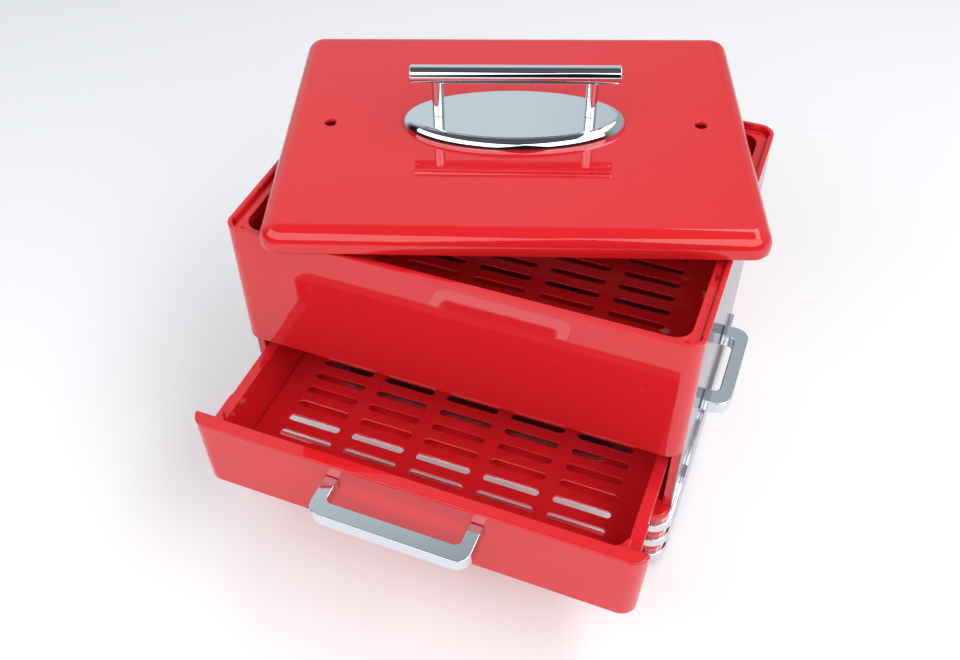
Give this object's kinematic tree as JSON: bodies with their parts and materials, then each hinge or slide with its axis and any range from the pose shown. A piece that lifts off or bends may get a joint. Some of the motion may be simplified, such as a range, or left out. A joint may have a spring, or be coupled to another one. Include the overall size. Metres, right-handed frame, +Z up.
{
  "type": "hot dog steamer",
  "caption": "Table-top steamer with a red moulded cabinet, a sliding drawer over a heated water basin, a lift-out upper tray, a loose lid with a bar handle, and bright side panels and bands.",
  "frame": {"origin": "middle of the cabinet on the plane that the feet stand on", "axes": "+Z up, -Y the front with the drawer, +X the right side seen from the front"},
  "size_m": [0.3668, 0.4146, 0.2822],
  "materials": {
    "red_plastic": "glossy moulded ABS",
    "chrome_trim": "bright chrome plating on plastic",
    "bright_panel": "bright plated flat panel",
    "black_plastic": "fine matt",
    "rocker_plastic": "semi-gloss",
    "foot_rubber": "matt",
    "screw_steel": "zinc plated",
    "cast_aluminium": "satin",
    "heater_steel": "dull sheath",
    "white_ceramic": "matt",
    "lamp_lens": "clear amber lens"
  },
  "bodies": {
    "cabinet": {"base_pan": "red_plastic", "back_panel": "red_plastic", "upper_band": "chrome_trim", "middle_band": "chrome_trim", "lower_band": "chrome_trim", "bottom_cover": "black_plastic", "feet": "foot_rubber", "cover_screws": "screw_steel", "water_reservoir": "cast_aluminium", "reservoir_seal": "foot_rubber", "heating_element": "heater_steel", "heater_clamp": "heater_steel", "thermostat": "heater_steel", "thermal_fuse": "white_ceramic", "terminal_block": "white_ceramic", "cord_inlet": "black_plastic", "switch_housing": "black_plastic", "indicator_lamp": "lamp_lens", "left_runner": "red_plastic", "right_runner": "red_plastic", "left_side_wall": "red_plastic", "right_side_wall": "red_plastic", "left_side_panel": "bright_panel", "right_side_panel": "bright_panel", "left_side_handle": "chrome_trim", "right_side_handle": "chrome_trim", "side_handle_screws": "screw_steel", "front_shell": "red_plastic", "rear_shell": "red_plastic", "shell_screws": "screw_steel"},
    "rocker": {"power_rocker": "rocker_plastic"},
    "drawer": {"drawer_box": "red_plastic", "drawer_grate": "red_plastic", "drawer_front": "red_plastic", "drawer_front_screws": "screw_steel", "drawer_handle": "chrome_trim", "drawer_handle_screws": "screw_steel"},
    "tray": {"upper_tray": "red_plastic", "tray_grate": "red_plastic"},
    "lid": {"lid_shell": "red_plastic", "lid_plate": "chrome_trim", "left_lid_post": "chrome_trim", "right_lid_post": "chrome_trim", "lid_handle_bar": "chrome_trim", "lid_screws": "screw_steel"}
  },
  "joints": [
    {"name": "drawer_slide", "type": "slide", "parent": "cabinet", "child": "drawer", "axis": [0, -1, 0], "range_m": [-0.079, 0.08]},
    {"name": "tray_lift", "type": "slide", "parent": "cabinet", "child": "tray", "axis": [0, 0, 1], "range_m": [0, 0.11]},
    {"name": "lid_lift", "type": "slide", "parent": "tray", "child": "lid", "axis": [0, 0, 1], "range_m": [0, 0.12]},
    {"name": "rocker_tilt", "type": "hinge", "parent": "cabinet", "child": "rocker", "pos_m": [0.062, 0.1132, 0.03025], "axis": [0, 0, 1], "range_deg": [0, 16]}
  ]
}
